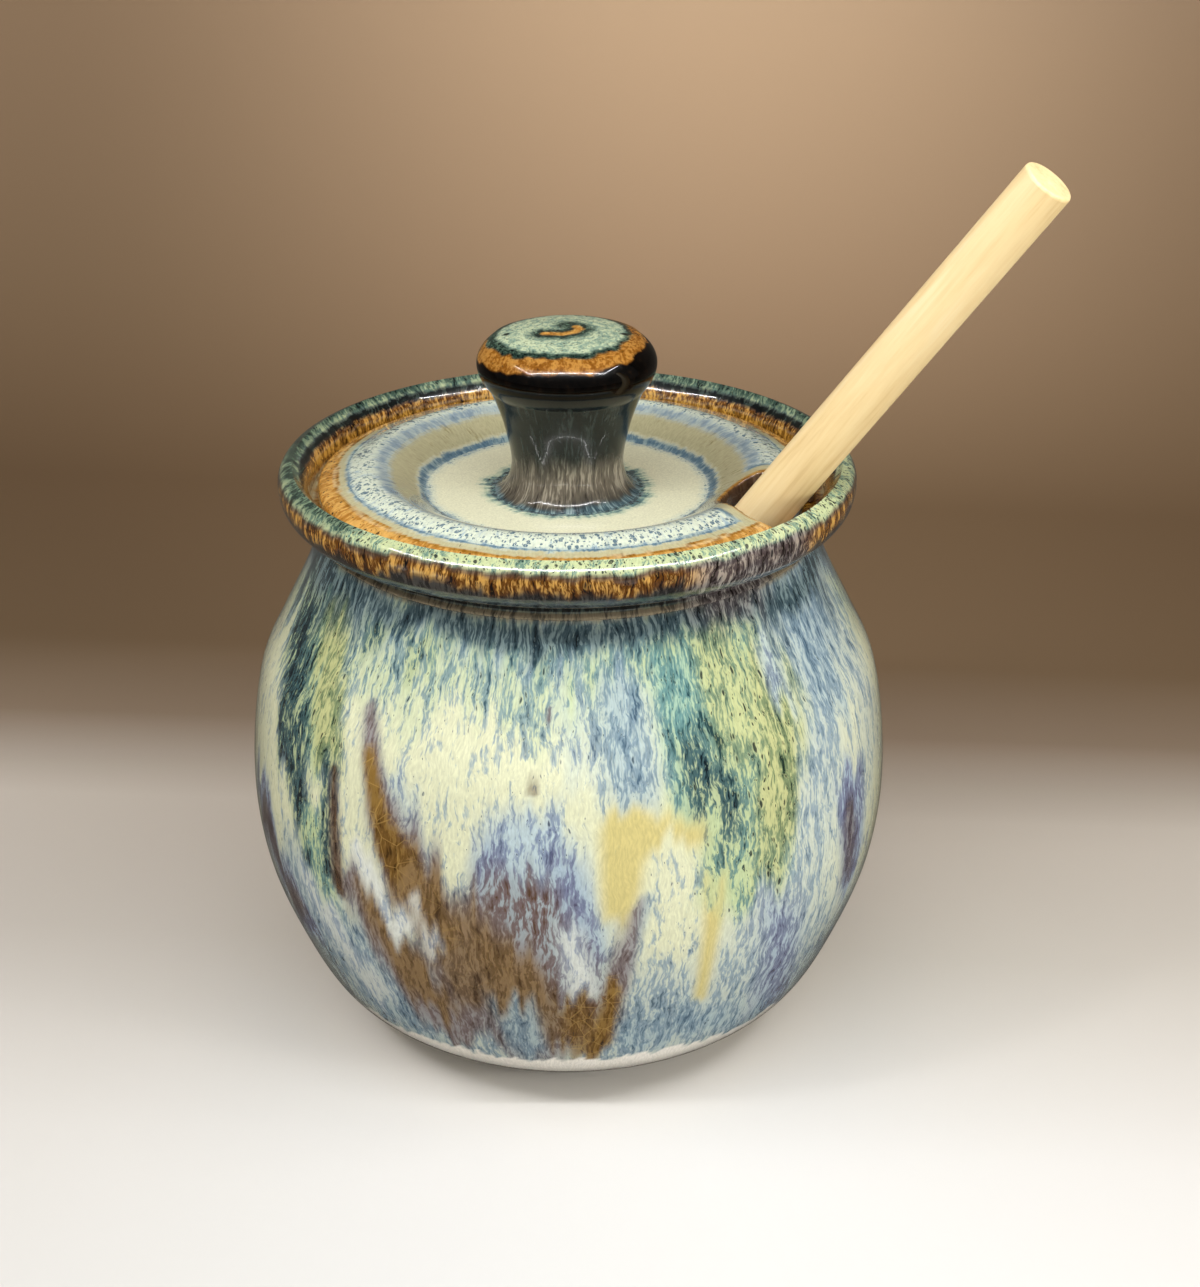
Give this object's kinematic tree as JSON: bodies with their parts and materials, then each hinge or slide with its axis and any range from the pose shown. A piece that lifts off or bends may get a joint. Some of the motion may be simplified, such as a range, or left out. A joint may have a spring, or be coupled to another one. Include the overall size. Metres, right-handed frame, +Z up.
{
  "type": "lidded honey pot with dipper",
  "caption": "Bellied glazed stoneware honey pot with a loose notched lid, a flared knob and a wooden dipper leaning out through the notch.",
  "frame": {"origin": "centre of the foot ring, on the surface that the pot stands on", "axes": "+Z up the pot's axis, +X towards the lid's notch and the way the dipper leans, +Y to complete the right-handed frame"},
  "size_m": [0.1295, 0.105, 0.1501],
  "materials": {
    "pot_glaze": "glossy flowing glaze over stoneware",
    "lid_glaze": "glossy speckled glaze over stoneware",
    "knob_glaze": "glossy dark glaze with an amber cap edge",
    "stick_wood": "sanded pale birch dowel",
    "head_wood": "turned pale birch"
  },
  "bodies": {
    "pot": {"pot": "pot_glaze"},
    "lid": {"lid": "lid_glaze", "lid_knob": "knob_glaze"},
    "dipper": {"dipper_stick": "stick_wood", "dipper_head": "head_wood"}
  },
  "joints": [
    {"name": "lid_lift", "type": "slide", "parent": "pot", "child": "lid", "axis": [0, 0, 1], "range_m": [0, 0.08]},
    {"name": "dipper_draw", "type": "slide", "parent": "pot", "child": "dipper", "axis": [0.5878, 0, 0.809], "range_m": [0, 0.048]}
  ]
}
